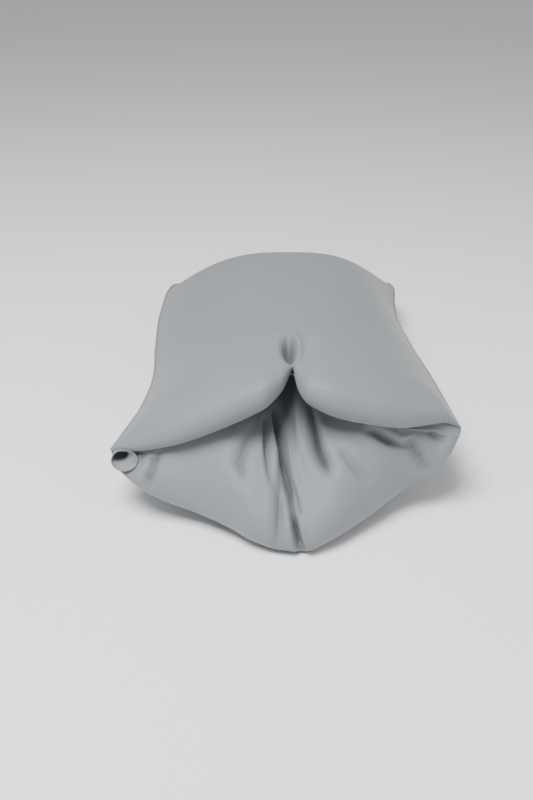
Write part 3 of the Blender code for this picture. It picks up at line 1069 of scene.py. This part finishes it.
sateen = cloth_material("sateen", (0.212, 0.232, 0.247), (0.188, 0.207, 0.221),
                        0.52, 0.15, 900, 0.25, (0.5, 0.75))
hem_cloth = cloth_material("hem_cloth", (0.220, 0.240, 0.254), (0.190, 0.209, 0.222),
                           0.50, 0.15, 900, 0.30, (0.5, 0.04), row=0.0032)
print("cut cloths:", sateen.name, hem_cloth.name)

# %% [markdown]
# The seams, the cord, the insert cover and the filling wear the second kind. None of them
# was cut flat, so the pattern sits in the piece's own space. The cover is a plain white
# ticking, the cord is twisted, and the filling is a tangle of fibre, which the ribs give
# when they wander a long way.

# %% Cloth and cord that were not
def round_material(name, light, dark, rough, ribs, wander, bump, weave=False):
    """A cloth, cord or fibre whose pattern sits in the piece's own space."""
    made, tree, shader, place = new_material(name)
    if weave:
        pattern = place_group(tree, WEAVE, place.outputs["Object"], Threads=ribs)
    else:
        pattern = place_group(tree, RIBS, place.outputs["Object"], Ribs=ribs, Wander=wander)
    uneven = place_group(tree, UNEVEN, place.outputs["Object"],
                         Scale=14.0, Light=(*light, 1.0), Dark=(*dark, 1.0))
    tree.links.new(uneven.outputs["Color"], shader.inputs["Base Color"])
    raise_surface(tree, shader, pattern.outputs["Height"], bump, 0.0004)
    shader.inputs["Roughness"].default_value = rough
    shader.inputs["Sheen Weight"].default_value = 0.10
    return made


seam_cloth = round_material("seam_cloth", (0.222, 0.242, 0.256), (0.186, 0.204, 0.217),
                            0.50, 250, 1.0, 0.45)
ticking = round_material("ticking", (0.84, 0.84, 0.82), (0.77, 0.77, 0.75),
                         0.85, 420, 0.0, 0.40, weave=True)
twisted = round_material("twisted_cord", (0.80, 0.80, 0.78), (0.72, 0.72, 0.70),
                         0.80, 210, 0.6, 0.80)
fibre = round_material("fibre", (0.90, 0.90, 0.89), (0.80, 0.80, 0.79),
                       0.95, 34, 18.0, 1.00)
print("materials:", len(bpy.data.materials))

# %% [markdown]
# ## Settling the insert
#
# A filled cover is round between its seams, because the fibre presses it outwards. Cloth
# simulation with a little air pressure does that. It runs without gravity, since the case
# holds the insert up, and no point may go further than a few millimetres. Any point that
# comes too near the case is then drawn back inside it.

# %% Settle the insert cover
def settle(piece, pressure, frames, most):
    """Lets a little air pressure round a closed cover off between its seams."""
    before = [v.co.copy() for v in piece.data.vertices]
    cloth = piece.modifiers.new("settle", "CLOTH")
    cloth.settings.quality = 4
    cloth.settings.mass = 0.15
    cloth.settings.tension_stiffness = 12
    cloth.settings.compression_stiffness = 12
    cloth.settings.bending_stiffness = 0.4
    cloth.settings.use_pressure = True
    cloth.settings.uniform_pressure_force = pressure
    cloth.settings.effector_weights.gravity = 0.0
    cloth.point_cache.frame_start = 1
    cloth.point_cache.frame_end = frames
    for frame_number in range(1, frames + 1):
        bpy.context.scene.frame_set(frame_number)
    bpy.ops.object.modifier_apply(modifier=cloth.name)
    bpy.context.scene.frame_set(1)
    furthest = 0.0
    for vertex, old in zip(piece.data.vertices, before):
        move = vertex.co - old
        furthest = max(furthest, move.length)
        if move.length > most:
            vertex.co = old + move * (most / move.length)
    print(piece.name, "settled, furthest", round(furthest * 1000, 1), "mm")


def keep_inside(piece, walls, gap):
    """Draws any point that comes too near the case back inside it."""
    moved = 0
    for _ in range(3):
        for vertex in piece.data.vertices:
            for wall in walls:
                place, normal = wall.find_nearest(vertex.co, 0.03)[:2]
                if place is None:
                    continue
                if (vertex.co - place).dot(normal) > -gap:
                    vertex.co = place - normal * gap
                    moved += 1
    piece.data.update()
    print(piece.name, "points drawn in:", moved)


# %% Make and settle the insert cover
insert_cushion = make_skin("insert_cushion")
draw_in(insert_cushion, 0.009, 3, 0.006)
settle(insert_cushion, 4.0, 20, 0.003)
keep_inside(insert_cushion, case_walls, 0.003)

# %% Fill the insert
fibre_filling = make_skin("fibre_filling", 110, 56)
draw_in(fibre_filling, 0.018, 3, 0.009)
keep_inside(fibre_filling, case_walls, 0.010)


# %% The cord round the insert
cord_points = side_line(-1.0, 50, 0.012, 0.014)
cord_points += end_line(40, 0.014)[2:-2]
cord_points += list(reversed(side_line(1.0, 50, 0.012, 0.014)))
insert_cord = ridge("insert_cord", cord_points, 0.0022)


# %% [markdown]
# ## Dressing the pieces and tying them to the frame
#
# Every piece gets its material and smooth shading. Then it is tied to the frame: it
# rides on the root, and the CAD nodes it takes the place of are hidden.

# %% Dress the pieces
def wear(piece, material):
    """Gives a piece its material and smooth shading."""
    piece.data.materials.clear()
    piece.data.materials.append(material)
    bpy.ops.object.select_all(action="DESELECT")
    piece.select_set(True)
    bpy.context.view_layer.objects.active = piece
    bpy.ops.object.shade_smooth()


for piece, cloth in ((case_top, sateen), (case_back, sateen), (top_hem, hem_cloth),
                     (flap_hem, hem_cloth), (side_seam_left, seam_cloth),
                     (side_seam_right, seam_cloth), (end_seam, seam_cloth),
                     (insert_cushion, ticking), (fibre_filling, fibre), (insert_cord, twisted)):
    wear(piece, cloth)
    print(piece.name, "wears", cloth.name)

# %% Ride and replace
for piece in (case_top, case_back, top_hem, flap_hem, side_seam_left, side_seam_right,
              end_seam, insert_cushion, fibre_filling, insert_cord):
    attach(piece, "root")
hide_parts("case_top_panel")
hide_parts("case_bottom_panel", "case_flap")
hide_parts("top_hem")
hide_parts("flap_hem")
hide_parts("case_side_seam_left")
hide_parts("case_side_seam_right")
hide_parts("case_end_seam")
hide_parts("insert_cover_top", "insert_cover_bottom")
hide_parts("fibre_fill")
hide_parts("insert_edge_cord")

# %% [markdown]
# ## The floor
#
# The pillow stands on a plain pale floor, much larger than itself, so that no edge of it
# shows. The floor is the stage and not a piece of the object.

# %% Floor
bpy.ops.mesh.primitive_plane_add(size=60.0, location=(0.0, 0.0, 0.0))
floor = bpy.context.object
floor.name = "floor"
ground = bpy.data.materials.new("pale_floor")
ground.use_nodes = True
ground_shader = ground.node_tree.nodes["Principled BSDF"]
ground_shader.inputs["Base Color"].default_value = (0.93, 0.93, 0.935, 1.0)
ground_shader.inputs["Roughness"].default_value = 0.9
floor.data.materials.append(ground)
